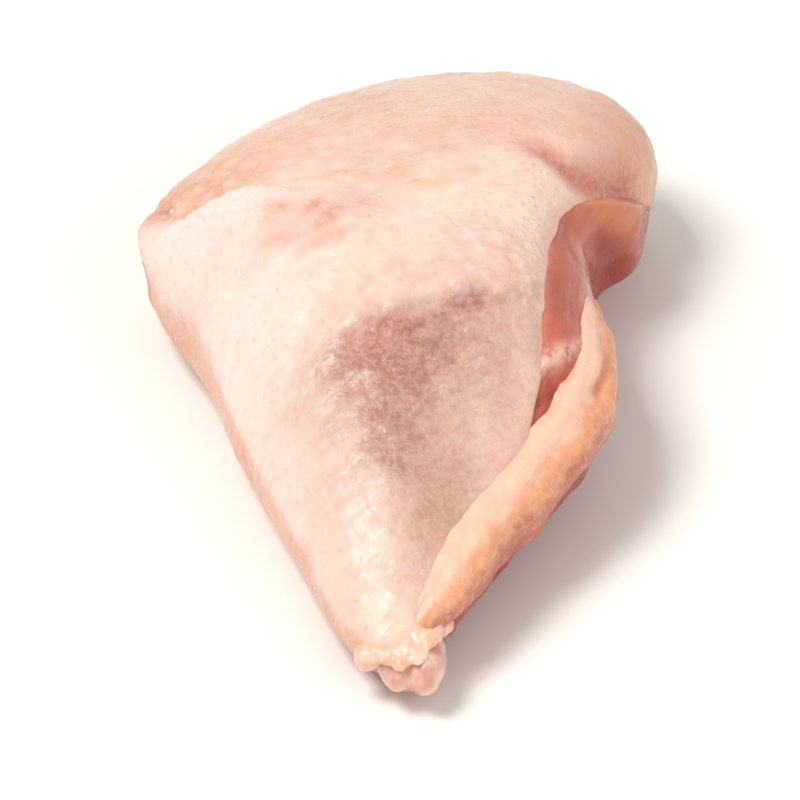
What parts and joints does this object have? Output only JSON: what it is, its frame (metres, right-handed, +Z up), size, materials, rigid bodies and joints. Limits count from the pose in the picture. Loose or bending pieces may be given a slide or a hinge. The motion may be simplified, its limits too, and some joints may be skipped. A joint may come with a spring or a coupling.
{
  "type": "chicken thigh",
  "caption": "Raw bone-in chicken thigh lying skin side up: domed skin, bare flesh at one side and below, a fatty rolled skin edge and the bone's knee end showing.",
  "frame": {"origin": "middle of the footprint's bounding box, on the surface that the thigh lies on", "axes": "+Z up; -Y towards the narrow knee end with the bone's knuckles, +Y towards the broad hip end; +X towards the side with the bare flesh and the rolled skin edge"},
  "size_m": [0.0802, 0.1316, 0.0371],
  "materials": {
    "skin": "raw chicken skin: pale cream to pink, faintly see-through, with small raised follicles and a moist sheen",
    "flesh": "raw thigh meat: wet pink-red with fine fibres, pale seams and a few yellow-white flecks of fat",
    "fatty_skin": "rolled skin edge with fat under it: cream to warm orange, moist",
    "bone": "cartilage and bone ends: whitish pink, glossy and wet"
  },
  "bodies": {
    "root": {"thigh_skin": "skin", "thigh_meat": "flesh", "skin_roll": "fatty_skin", "thigh_bone": "bone"}
  },
  "joints": []
}
